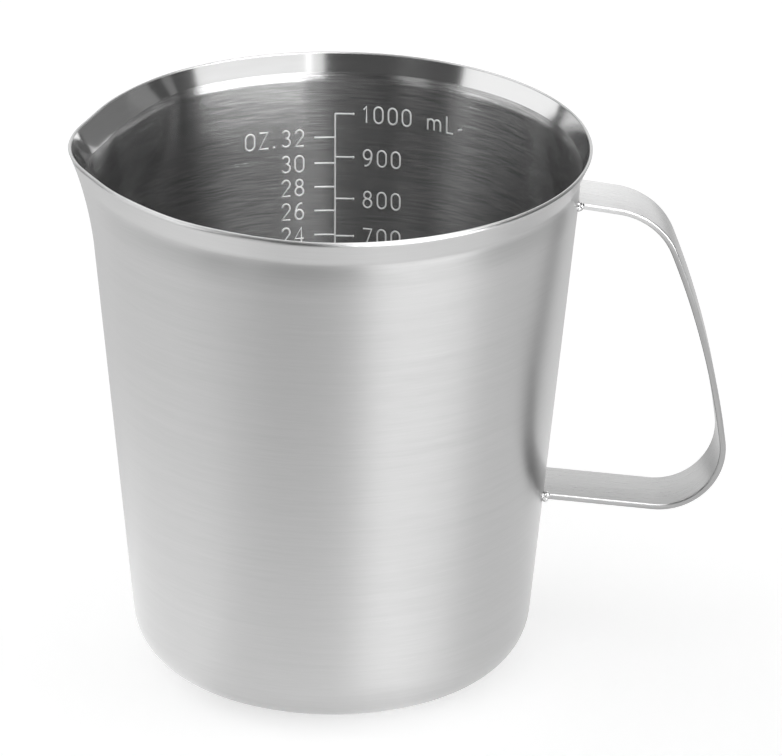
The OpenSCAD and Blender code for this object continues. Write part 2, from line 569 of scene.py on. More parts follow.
@dataclass(frozen=True)
class CupSizes:
    """Sizes of the cup's solid."""

    height: float = 133.5
    foot_d: float = 94.8
    mouth_d: float = 120.4
    sheet: float = 0.7
    corner_r: float = 14.0
    lip_h: float = 7.0
    lip_flare: float = 1.8
    spout_out: float = 1.8
    spout_drop: float = 26.5
    spout_tip_r: float = 39.0
    corner_loss: float = 9.0

    @property
    def slope(self) -> float:
        """How far the wall leans out for each step up."""
        return (self.mouth_d - self.foot_d) / 2 / self.height

    @property
    def taper(self) -> float:
        """Angle of the wall's lean in radians."""
        return math.atan(self.slope)

    @property
    def lip_z(self) -> float:
        """Height at which the lip starts."""
        return self.height - self.lip_h

    @property
    def spout_z(self) -> float:
        """Height at which the spout starts to leave the wall."""
        return self.height - self.spout_drop

    @property
    def corner_x(self) -> float:
        """Radius at which the flat of the base ends."""
        return self.foot_d / 2 + self.corner_r * (self.slope - 1 / math.cos(self.taper))

    @property
    def tip_x(self) -> float:
        """Distance of the centre of the spout's round tip from the cup's axis."""
        return self.mouth_d / 2 + self.lip_flare + self.spout_out - self.spout_tip_r

    def wall_r(self, z: float) -> float:
        """Outside radius of the plain wall at a height."""
        return self.foot_d / 2 + z * self.slope

    def inside_r(self, z: float) -> float:
        """Inside radius of the plain wall at a height."""
        return self.wall_r(z) - self.sheet / math.cos(self.taper)

    def fill_height(self, millilitres: float) -> float:
        """Height that a volume of liquid fills the cup to.

        Args:
            millilitres: The volume.

        Returns:
            The height above the base.
        """
        low, high = 0.0, self.height
        close_enough = 0.01
        r0 = self.inside_r(0)
        while high - low > close_enough:
            z = (low + high) / 2
            r1 = self.inside_r(z)
            cone = math.pi * z * (r0 * r0 + r0 * r1 + r1 * r1) / (3 * MM3_PER_ML)
            held = cone - self.corner_loss
            low, high = (z, high) if held < millilitres else (low, z)
        return low


@dataclass
class Cup:
    """The drawn cup: a section of the sheet turned round the axis, then pressed out at the spout."""

    sizes: CupSizes = field(default_factory=CupSizes)
    turn_steps: int = 360
    corner_steps: int = 14
    wall_steps: int = 26
    lip_steps: int = 10
    edge_steps: int = 10
    edge_growth: float = 0.2
    crease_share: float = 0.12
    polish_from: float = 2.0
    neck: float = 0.35
    neck_h: float = 8.0
    flank_draw: float = 0.5
    near_draw: float = 1.3
    flank_hollow: float = 1.5
    band_dip: float = 2.2
    hollow_full: float = 2.0
    wall_shares: tuple[float, ...] = (0.2, 0.5, 0.8)
    dip_span: Point = (60.0, 12.0)
    flank_span: Point = (54.0, 34.0)
    beside_span: Point = (0.0, 24.0)
    near_start: Point = (12.0, 45.0)
    near_end: Point = (88.0, 60.0)
    neck_span: Point = (48.0, 20.0)
    merge: float = 0.01

    def plain_r(self, z: float) -> float:
        """Outside radius at a height, with the lip's flare.

        Args:
            z: The height.

        Returns:
            The radius.
        """
        s = self.sizes
        rise = max(0.0, z - s.lip_z) / s.lip_h
        crease = self.crease_share
        bent = min(rise, crease) ** 2 / (2 * crease) + max(0.0, rise - crease)
        return s.wall_r(z) + (s.lip_flare + self.edge_growth) * bent / (1 - crease / 2)

    def outer_r(self, z: float) -> float:
        """Outside radius at a height, with the lip's flare and the shallow neck under it.

        Args:
            z: The height.

        Returns:
            The radius.
        """
        s = self.sizes
        rise = max(0.0, z - s.lip_z) / s.lip_h
        below = max(0.0, 1 - max(0.0, s.lip_z - z) / self.neck_h)
        return self.plain_r(z) - self.neck * below ** 2 * (1 - rise)

    def lean(self, z: float) -> float:
        """Angle by which the sheet leans out at a height, in radians."""
        step = 0.05
        return math.atan((self.plain_r(z + step) - self.plain_r(z - step)) / (2 * step))

    def inner_r(self, z: float) -> float:
        """Inside radius at a height, with the lip's flare."""
        return self.plain_r(z) - self.sizes.sheet / math.cos(self.lean(z))

    def corner(self, radius: float) -> Stroke:
        """Arc of the base's corner with a radius, from the flat of the base to the wall."""
        s = self.sizes
        return arc((s.corner_x, s.corner_r), (radius, radius), -90, -math.degrees(s.taper), self.corner_steps)

    def section(self) -> list[tuple[float, float, float]]:
        """Section of the sheet, from the middle of the underside over the rim to the middle of the floor.

        Returns:
            Points as distance from the axis, zone, and height.
        """
        s = self.sizes
        round_r = s.sheet / 2
        top = s.height - round_r
        wall = [s.spout_z * share for share in self.wall_shares]
        wall += [s.spout_z + (s.lip_z - s.spout_z) * i / self.wall_steps for i in range(self.wall_steps)]
        lip = [s.lip_z + (top - s.lip_z) * (i / self.lip_steps) ** 2 for i in range(self.lip_steps + 1)]
        outside = [(0.0, 0.0)] + self.corner(s.corner_r) + [(self.outer_r(z), z) for z in wall]
        inside = [(self.inner_r(z), z) for z in reversed(wall)]
        inside += self.corner(s.corner_r - s.sheet)[::-1] + [(0.0, s.sheet)]
        lean = math.degrees(self.lean(top))
        middle = (self.outer_r(top) - round_r / math.cos(self.lean(top)), top)
        edge = arc(middle, (round_r, round_r), -lean, 180 - lean, self.edge_steps)[1:-1]
        polished = [(self.inner_r(z), z) for z in reversed(lip) if z > s.lip_z + self.polish_from]
        crease = [(self.inner_r(z), z) for z in reversed(lip) if z <= s.lip_z + self.polish_from]
        runs = [(outside, Zone.OUTSIDE), ([(self.outer_r(z), z) for z in lip], Zone.LIP_OUTSIDE),
                (edge, Zone.EDGE), (polished, Zone.LIP_INSIDE), (crease + inside, Zone.INSIDE)]
        return [(r, zone.value / MM, z) for run, zone in runs for r, z in run]

    def form(self, rows: int) -> FormTree:
        """Builds the tree that turns the section round the axis and presses the spout.

        Args:
            rows: Number of points in the section.

        Returns:
            The tree, with its materials set.
        """
        s = self.sizes
        tree = FormTree("cup_form")
        count = tree.size("Section Points", rows)
        steps = tree.size("Turn Steps", self.turn_steps)
        foot = tree.size("Foot Radius", MM * s.foot_d / 2)
        slope = tree.size("Wall Slope", s.slope)
        lip_z = tree.size("Lip Start", MM * s.lip_z)
        lip_h = tree.size("Lip Height", MM * s.lip_h)
        flare = tree.size("Lip Flare", MM * s.lip_flare)
        crease = tree.size("Crease Share", self.crease_share)
        spout_z = tree.size("Spout Start", MM * s.spout_z)
        drop = tree.size("Spout Height", MM * s.spout_drop)
        reach = tree.size("Spout Reach", MM * (s.lip_flare + s.spout_out))
        tip_x = tree.size("Spout Tip Centre", MM * s.tip_x)
        draw = tree.size("Flank Draw", MM * self.flank_draw)
        near_draw = tree.size("Near Flank Draw", MM * self.near_draw)
        hollow = tree.size("Flank Hollow", MM * self.flank_hollow)
        neck = tree.size("Neck Depth", MM * self.neck)
        neck_h = tree.size("Neck Height", MM * self.neck_h)
        dip = tree.size("Polish Dip", MM * self.band_dip)

        grid = tree.wire("GeometryNodeMeshGrid", {"Size X": 1.0, "Size Y": 1.0, "Vertices X": steps + 1,
                                                  "Vertices Y": count})
        index = tree.wire("GeometryNodeInputIndex")
        column = tree.math("FLOOR", (index + 0.5) / count)
        spot = tree.wire("GeometryNodeSampleIndex",
                         {"Geometry": tree.source, "Value": tree.wire("GeometryNodeInputPosition"),
                          "Index": index - column * count}, data_type="FLOAT_VECTOR", domain="POINT")
        section_r, zone, level = tree.parts(spot)
        turn = column * math.tau / steps
        away = tree.math("ABSOLUTE", turn - math.pi)

        def turned(span: Point) -> Wire:
            """Rises from 0 to 1 between two angles from the middle of the spout, in degrees."""
            return tree.ramp(away, *(math.radians(a) for a in span))

        def ring(height: Wire) -> tuple[Wire, Wire]:
            """Follows the round cup.

            Args:
                height: Height above the base.

            Returns:
                The outside radius at that height, and the lip's flare in it.
            """
            rise = tree.from_zero(height - lip_z) / lip_h
            low = tree.math("MINIMUM", rise, crease)
            bent = low * low / (crease * 2.0) + tree.from_zero(rise - crease)
            out = flare * bent / (1.0 - crease * 0.5)
            return foot + height * slope + out, out

        window = (tree.ramp(level, MM * s.height, MM * s.lip_z)
                  * tree.ramp(level, MM * s.spout_z, MM * s.lip_z))
        inside = zone > (Zone.EDGE.value + Zone.LIP_INSIDE.value) / 2
        z = level - dip * turned(self.dip_span) * window * inside
        old_ring, _ = ring(level)
        cup, flared = ring(z)
        rise = tree.from_zero(z - spout_z) / drop
        lift = rise * rise
        out = tree.from_zero(reach * lift - flared)
        tip = cup + out - tip_x
        flank = tree.math("ARCCOSINE", 1.0 - out / tip_x)
        tip_end = tree.math("ARCTAN2", tip * tree.math("SINE", flank),
                            tip_x + tip * tree.math("COSINE", flank))
        on_flank = cup / tree.math("COSINE", flank - away)
        aside = tip_x * tree.math("SINE", away)
        on_tip = tip_x * tree.math("COSINE", away) + tree.math("SQRT", tip * tip - aside * aside)
        pressed = tree.choose(away > flank, cup, tree.choose(away > tip_end, on_flank, on_tip))
        under = (tree.ramp(z, MM * s.height, MM * s.lip_z, "LINEAR")
                 * tree.ramp(z, MM * s.spout_z, MM * (s.lip_z - self.hollow_full)))
        flanks = turned(self.flank_span)
        beside = turned(self.beside_span) * flanks
        near = turn > math.pi
        wide = turned(self.near_start) * turned(self.near_end)
        drawn = draw * lift * beside + hollow * under * inside * flanks + near_draw * lift * wide * near
        necked = tree.from_zero(1.0 - tree.from_zero(lip_z - z) / neck_h)
        necked = necked * necked * (1.0 - tree.from_zero(z - lip_z) / lip_h)
        drawn = drawn - neck * necked * (1.0 - inside) * turned(self.neck_span)
        radius = tree.from_zero(section_r + pressed - old_ring - drawn)
        radius = tree.choose(level > spout_z, radius, section_r)
        place = tree.vector(radius * tree.math("COSINE", turn), radius * tree.math("SINE", turn), z)
        shell = tree.keep(tree.move(grid, place), "zone", zone)
        closed = tree.wire("GeometryNodeMergeByDistance", {"Geometry": shell, "Distance": self.merge * MM})

        def band(low: float, high: float) -> Wire:
            """Faces whose zone lies between two values."""
            kept = tree.kept("zone")
            return (kept > low) * (kept < high)

        margin = 0.25
        lip_outside, lip_inside = Zone.LIP_OUTSIDE.value, Zone.LIP_INSIDE.value
        tree.finish(closed, OUTSIDE_STEEL.material(), [
            (band(lip_outside + margin, lip_inside - margin), EDGE_STEEL.material()),
            (band(lip_inside - margin, lip_inside + margin), LIP_STEEL.material()),
            (band(lip_inside + margin, Zone.INSIDE.value + margin), INSIDE_STEEL.material()),
        ])
        return tree

    def build(self) -> bpy.types.Object:
        """Makes the cup.

        Returns:
            The finished piece.
        """
        section = self.section()
        piece = self.form(len(section)).bake("cup", line_mesh("cup_section", [section]))
        return enlist(piece, "cup_body")


@dataclass
class Strap:
    """The handle: one flat strap, bent into a D and set against the wall."""

    cup: CupSizes = field(default_factory=CupSizes)
    width: float = 16.5
    thickness: float = 1.5
    edge_r: float = 0.4
    upper_joint_drop: float = 13.2
    joint_span: float = 76.2
    upper_run: float = 19.4
    lower_run: float = 45.5
    upper_fall: float = 9.8
    lower_fall: float = 6.7
    upper_bend_r: float = 17.6
    lower_bend_r: float = 15.1
    leg_bow: float = 4.7
    leg_bow_r: float = 205.0
    bow_share: float = 0.44
    gap: float = 0.2
    bend_steps: int = 28
    edge_steps: int = 5
    trim_passes: int = 3
    end_share: float = 0.4999
    map_scale: float = 10.0

    def joint(self, upper: bool) -> Vector:
        """Place where the middle of an arm meets the wall: distance from the axis, and height."""
        z = self.cup.height - self.upper_joint_drop - (0 if upper else self.joint_span)
        return Vector((self.cup.wall_r(z), z))

    def bend(self, before: Vector, corner: Vector, after: Vector, radius: float) -> list[Vector]:
        """Arc that rounds a corner of the route.

        Args:
            before: A point on the route before the corner.
            corner: The corner.
            after: A point on the route after it.
            radius: Radius of the arc.

        Returns:
            Points along the arc.
        """
        u, v = (before - corner).normalized(), (after - corner).normalized()
        half = u.angle(v) / 2
        centre = corner + (u + v).normalized() * radius / math.sin(half)
        first = corner + u * radius / math.tan(half) - centre
        sweep = (math.pi - 2 * half) * math.copysign(1, v.cross(u))
        return [centre + Matrix.Rotation(sweep * i / self.bend_steps, 2) @ first
                for i in range(self.bend_steps + 1)]

    def route(self) -> list[Vector]:
        """Middle line of the strap in the plane of the handle, from the upper joint to the lower one.

        Returns:
            Points as distance from the axis, and height.
        """
        upper, lower = self.joint(True), self.joint(False)
        upper_corner = upper + self.upper_run * Vector((1, -math.tan(math.radians(self.upper_fall))))
        lower_corner = lower + self.lower_run * Vector((1, -math.tan(math.radians(self.lower_fall))))
        leg = lower_corner - upper_corner
        middle = upper_corner + self.bow_share * leg + self.leg_bow * Vector((-leg.y, leg.x)).normalized()
        return [upper, *self.bend(upper, upper_corner, middle, self.upper_bend_r),
                *self.bend(upper_corner, middle, lower_corner, self.leg_bow_r),
                *self.bend(middle, lower_corner, lower, self.lower_bend_r), lower]

    def form(self) -> FormTree:
        """Builds the tree that sweeps the strap's section along its route and trims its ends to the wall.

        Returns:
            The tree, with its material set.
        """
        tree = FormTree("strap_form")
        width = tree.size("Strap Width", MM * self.width)
        thickness = tree.size("Strap Thickness", MM * self.thickness)
        edge = tree.size("Edge Radius", MM * self.edge_r)
        foot = tree.size("Wall Foot Radius", MM * self.cup.foot_d / 2)
        slope = tree.size("Wall Slope", self.cup.slope)
        gap = tree.size("Gap To Wall", MM * self.gap)
        upper_fall = tree.size("Upper Fall", math.tan(math.radians(self.upper_fall)))
        lower_fall = tree.size("Lower Fall", math.tan(math.radians(self.lower_fall)))

        route = tree.wire("GeometryNodeMeshToCurve", {0: tree.source})
        share, length = tree.wires("GeometryNodeSplineParameter", ("Factor", "Length"))
        route = tree.keep(tree.keep(route, "share", share), "along", length)
        section = tree.wire("GeometryNodeCurvePrimitiveQuadrilateral", {"Width": width, "Height": thickness})
        section = tree.wire("GeometryNodeFilletCurve",
                            {"Curve": section, "Count": self.edge_steps, "Radius": edge}, mode="POLY")
        across, through, _ = tree.position()
        section = tree.keep(tree.keep(section, "across", across), "through", through)
        section = tree.keep(section, "girth", share)
        swept = tree.sweep(route, section)

        at = tree.kept("share")
        low_end = at > 0.5
        fall = tree.choose(low_end, lower_fall, upper_fall)
        x, y, z = tree.position()
        new_x, new_z = x, z
        for _ in range(self.trim_passes):
            wall = foot + new_z * slope
            new_x = tree.math("SQRT", wall * wall - y * y) + gap
            new_z = z - (new_x - x) * fall
        ends = tree.math("ABSOLUTE", at - 0.5) > self.end_share
        trimmed = tree.move(swept, tree.vector(new_x, y, new_z), ends)
        grain = tree.vector(tree.kept("along"), tree.kept("across"), tree.kept("through"))
        grained = tree.keep(trimmed, "strap_grain", grain, "FLOAT_VECTOR")
        spread = tree.vector(tree.kept("along") * self.map_scale, tree.kept("girth"), 0.0)
        tree.finish(tree.keep(grained, "strap_map", spread, "FLOAT2", "CORNER"), STRAP_STEEL.material())
        return tree

    def build(self) -> bpy.types.Object:
        """Makes the strap.

        Returns:
            The finished piece.
        """
        route = [(p.x, 0.0, p.y) for p in self.route()]
        piece = self.form().bake("strap", line_mesh("strap_route", [route]))
        return enlist(piece, "handle_strap")


@dataclass
class Weld:
    """One weld nub: a cluster of solid drops between the wall and an edge of the strap."""

    strap: Strap
    upper: bool
    side: Side
    drop_r: float = 0.85
    drops: int = 9
    spread: float = 1.0
    spread_low: tuple[float, float, float] = (-0.3, -0.45, -1.0)
    spread_high: tuple[float, float, float] = (1.0, 0.9, 1.0)
    least_share: float = 0.6
    voxels: float = 40.0
    melt_level: float = 0.1
    sink: float = 0.2

    @property
    def node(self) -> str:
        """Name of the solid that this weld stands for."""
        return f"{'upper' if self.upper else 'lower'}_weld_{self.side.name.lower()}"

    def corner(self) -> Vector:
        """Place where the strap's edge meets the wall.

        Returns:
            The place, in millimetres.
        """
        joint = self.strap.joint(self.upper)
        y = self.strap.width / 2
        x = math.sqrt(joint.x ** 2 - y ** 2)
        fall = self.strap.upper_fall if self.upper else self.strap.lower_fall
        return Vector((x, y * self.side.value, joint.y + (joint.x - x) * math.tan(math.radians(fall))))

    def form(self, seed: int, material: bpy.types.Material) -> FormTree:
        """Builds the tree that sets drops round the corner and melts them into one lump.

        Args:
            seed: Seed of the drops' places and sizes.
            material: The weld's finish.

        Returns:
            The tree.
        """
        cup = self.strap.cup
        tree = FormTree("weld_form")
        drop_r = tree.size("Drop Radius", self.drop_r)
        spread = tree.size("Spread", self.spread)
        roll = tree.size("Seed", seed)
        foot = tree.size("Wall Foot Radius", MM * cup.foot_d / 2)
        slope = tree.size("Wall Slope", cup.slope)
        corner = [tree.size(f"Corner {axis}", MM * c) for axis, c in zip("XYZ", self.corner())]

        points = tree.wire("GeometryNodeMeshToPoints", {"Mesh": tree.source})
        shift = tree.wire("FunctionNodeRandomValue",
                          {"Min": self.spread_low, "Max": self.spread_high, "Seed": roll},
                          data_type="FLOAT_VECTOR")
        sx, sy, sz = tree.parts(shift)
        points = tree.move(points, tree.vector(sx * spread, sy * spread * self.side.value, sz * spread))
        size = tree.wire("FunctionNodeRandomValue",
                         {"Min": self.least_share, "Max": 1.0, "Seed": roll + 1}, output="Value",
                         data_type="FLOAT")
        drops = tree.real(tree.scatter(points, tree.ball(drop_r), tree.vector(size, size, size)))
        melt = tree.wire("GeometryNodeMeshToVolume", {"Mesh": drops, "Voxel Amount": self.voxels},
                         resolution_mode="VOXEL_AMOUNT")
        lump = tree.wire("GeometryNodeVolumeToMesh", {"Volume": melt, "Threshold": self.melt_level},
                         resolution_mode="GRID")
        x, y, z = tree.position()
        x, y, z = (a * MM + c for a, c in zip((x, y, z), corner))
        radius = tree.from_axis(x, y)
        wall = foot + z * slope - self.sink * MM
        grow = tree.math("MAXIMUM", wall / radius, 1.0)
        tree.finish(tree.move(lump, tree.vector(x * grow, y * grow, z)), material)
        return tree

    def build(self, seed: int, material: bpy.types.Material) -> bpy.types.Object:
        """Makes the weld.

        Args:
            seed: Seed of the drops' places and sizes.
            material: The weld's finish.

        Returns:
            The finished piece.
        """
        starts = line_mesh("weld_drops", [[(0.0, 0.0, 0.0)] for _ in range(self.drops)])
        piece = self.form(seed, material).bake(self.node.replace("weld", "weld_bead"), starts)
        return enlist(piece, self.node)


class Numerals:
    """Plain figures and unit marks, drawn with single strokes in a box one wide and one high."""

    def __init__(self) -> None:
        """Draws the figures."""
        bowl = arc((0.5, 0.3), (0.47, 0.3), 180, 540, 18)
        six = arc((0.72, 0.3), (0.69, 0.7), 80, 180) + bowl
        ring = arc((0.5, 0.7), (0.5, 0.3), 0, 180) + arc((0.5, 0.3), (0.5, 0.3), 180, 360) + [(1.0, 0.7)]
        self.strokes: dict[str, list[Stroke]] = {
            "0": [ring],
            "1": [[(0.1, 0.8), (0.6, 1.0), (0.6, 0.0)]],
            "2": [arc((0.5, 0.73), (0.46, 0.27), 165, -35) + [(0.02, 0.0), (1.0, 0.0)]],
            "3": [arc((0.48, 0.76), (0.42, 0.24), 150, -90) + arc((0.48, 0.26), (0.5, 0.26), 90, -150)],
            "4": [[(0.74, 0.0), (0.74, 1.0), (0.0, 0.3), (1.0, 0.3)]],
            "5": [[(0.9, 1.0), (0.2, 1.0), (0.12, 0.56)] + arc((0.48, 0.32), (0.5, 0.32), 130, -150)],
            "6": [six],
            "7": [[(0.0, 1.0), (1.0, 1.0), (0.34, 0.0)]],
            "8": [arc((0.5, 0.77), (0.4, 0.23), -90, 270, 16), arc((0.5, 0.27), (0.48, 0.27), 90, 450, 16)],
            "9": [[(1 - x, 1 - y) for x, y in six]],
            "m": [[(0.0, 0.66), (0.0, 0.0)],
                  [(0.0, 0.35)] + arc((0.25, 0.42), (0.25, 0.24), 180, 0, 8) + [(0.5, 0.0)],
                  arc((0.75, 0.42), (0.25, 0.24), 180, 0, 8) + [(1.0, 0.0)]],
            "L": [[(0.15, 1.0), (0.15, 0.0), (0.95, 0.0)]],
            "O": [ring],
            "Z": [[(0.05, 1.0), (0.95, 1.0), (0.0, 0.0), (1.0, 0.0)]],
            ".": [[(0.0, 0.04), (1.0, 0.04)]],
            "-": [[(0.0, 0.3), (1.0, 0.4)]],
        }
        self.widths: dict[str, float] = {"1": 0.6, "m": 1.6, "O": 1.1, "Z": 1.1, ".": 0.25, "-": 0.5}


@dataclass
class Scale:
    """The measuring scale stamped into the far wall: a line, ticks, figures and unit marks."""

    cup: CupSizes = field(default_factory=CupSizes)
    line_at: float = 2.2
    right_tick: float = 4.5
    left_tick: float = 5.1
    figure_h: float = 4.1
    figure_w: float = 2.15
    right_gap: float = 1.42
    left_gap: float = 1.2
    right_figures: float = 9.2
    left_figures: float = -5.6
    right_unit: float = 16.5
    left_unit: float = 7.2
    stroke: float = 0.42
    stroke_sides: int = 10
    raised_share: float = 0.8
    end_share: float = 1.5
    right_seen: Mapping[int, float] = field(
        default_factory=lambda: {1000: 118.5, 900: 107.4, 800: 96.7, 700: 87.1})
    left_seen: Mapping[int, float] = field(
        default_factory=lambda: {32: 112.4, 30: 105.8, 28: 99.7, 26: 93.6, 24: 87.4})
    right_hidden: Sequence[int] = range(600, 0, -100)
    left_hidden: Sequence[int] = range(22, 2, -2)
    millilitres_per_ounce: float = 29.57

    def rows(self) -> tuple[dict[int, float], dict[int, float]]:
        """Heights of the marks: as measured where they show, and by the volume under them below.

        Returns:
            Heights of the right and of the left marks, by their figures.
        """
        right = {v: self.cup.fill_height(v) for v in self.right_hidden}
        left = {v: self.cup.fill_height(v * self.millilitres_per_ounce) for v in self.left_hidden}
        return {**self.right_seen, **right}, {**self.left_seen, **left}

    def word(self, text: str, start: float, middle: float, from_right: bool = False) -> list[Stroke]:
        """Strokes of a word on the unrolled wall.

        Args:
            text: The figures or letters.
            start: Where it starts, along the wall.
            middle: Height of its middle.
            from_right: Whether start is its right end.

        Returns:
            The strokes, in millimetres.
        """
        numerals = Numerals()
        widths = [self.figure_w * numerals.widths.get(c, 1.0) for c in text]
        gap = self.left_gap if from_right else self.right_gap
        x = start - (sum(widths) + gap * (len(text) - 1) if from_right else 0.0)
        strokes: list[Stroke] = []
        for c, w in zip(text, widths):
            for stroke in numerals.strokes[c]:
                strokes.append([(x + u * w, middle + (v - 0.5) * self.figure_h) for u, v in stroke])
            x += w + gap
        return strokes

    def strokes(self) -> list[Stroke]:
        """All strokes of the scale apart from its ticks, on the unrolled wall.

        Returns:
            The strokes, in millimetres.
        """
        right, left = self.rows()
        made: list[Stroke] = [[(self.line_at, max(right.values())), (self.line_at, min(right.values()))]]
        for value, z in right.items():
            made += self.word(str(value), self.right_figures, z)
        for value, z in left.items():
            made += self.word(str(value), self.left_figures, z, True)
        made += self.word("mL-", self.right_figures + self.right_unit, max(right.values()))
        made += self.word("OZ.", self.left_figures - self.left_unit, max(left.values()), True)
        return made

    def form(self) -> FormTree:
        """Builds the tree that adds the ticks, gives every stroke its body and rolls the scale onto the wall.

        Returns:
            The tree, with its material set.
        """
        tree = FormTree("scale_form")
        stroke = tree.size("Stroke Radius", MM * self.stroke / 2)
        right_tick = tree.size("Right Tick", MM * self.right_tick)
        left_tick = tree.size("Left Tick", MM * self.left_tick)
        raised = tree.size("Raised Share", self.raised_share)
        inside = tree.size("Inside Foot Radius", MM * self.cup.inside_r(0))
        slope = tree.size("Wall Slope", self.cup.slope)

        lines = tree.wire("GeometryNodeMeshToCurve", {0: tree.source})
        tips = {Tick.RIGHT: tree.vector(right_tick, 0.0, 0.0),
                Tick.LEFT: tree.vector(left_tick * -1.0, 0.0, 0.0)}
        starts: dict[Tick, Wire] = {}
        ticks: list[Wire] = []
        margin = 0.1
        for side, tip in tips.items():
            chosen = tree.math("COMPARE", tree.kept("tick"), side.value, margin)
            starts[side] = tree.wire("GeometryNodeMeshToPoints", {"Mesh": tree.source, "Selection": chosen})
            tick = tree.wire("GeometryNodeCurvePrimitiveLine", {"End": tip})
            ticks.append(tree.scatter(starts[side], tick))
        end = {"Geometry": tree.ball(stroke * self.end_share), "Translation": tips[Tick.RIGHT]}
        ends = tree.scatter(starts[Tick.RIGHT], tree.wire("GeometryNodeTransform", end))
        section = tree.wire("GeometryNodeCurvePrimitiveCircle",
                            {"Resolution": self.stroke_sides, "Radius": stroke})
        bodies = tree.sweep(tree.real(tree.join(lines, *ticks)), section)
        flat = tree.join(bodies, tree.real(ends))
        x, y, z = tree.position()
        wall = inside + y * slope
        turn = x / wall
        radius = wall - z * raised
        place = tree.vector(radius * tree.math("SINE", turn), radius * tree.math("COSINE", turn), y)
        tree.finish(tree.move(flat, place), MARK_STEEL.material())
        return tree

    def build(self) -> bpy.types.Object:
        """Makes the scale.

        Returns:
            The finished piece.
        """
        right, left = self.rows()
        strokes = self.strokes()
        ticks = [[(self.line_at, z)] for z in [*right.values(), *left.values()]]
        points = line_mesh("scale_lines", [*strokes, *ticks])
        kinds = points.attributes.new("tick", "FLOAT", "POINT")
        first = sum(len(s) for s in strokes)
        for i in range(len(ticks)):
            kinds.data[first + i].value = (Tick.RIGHT if i < len(right) else Tick.LEFT).value
        return enlist(self.form().bake("measuring_scale", points))


@dataclass(frozen=True)
class SoftBox:
    """A studio lamp with a large soft face, turned to the jug. Its angles are in degrees."""

    name: str
    azimuth: float
    elevation: float
    distance: float
    width: float
    height: float
    radiance: float
    for_steel: bool = True
    aim_height: float = 0.07

    def build(self) -> None:
        """Makes the lamp, which either shows in the steel or lights the floor."""
        lamp = bpy.data.lights.new(self.name, "AREA")
        lamp.shape = "RECTANGLE"
        lamp.size, lamp.size_y = self.width, self.height
        lamp.energy = self.radiance * math.pi * self.width * self.height
        made = new_object(self.name, lamp)
        made.visible_diffuse = not self.for_steel
        made.visible_glossy = self.for_steel
        way = direction(self.azimuth, self.elevation)
        made.location = Vector((0, 0, self.aim_height)) + way * self.distance
        made.rotation_euler = way.to_track_quat("Z", "Y").to_euler()


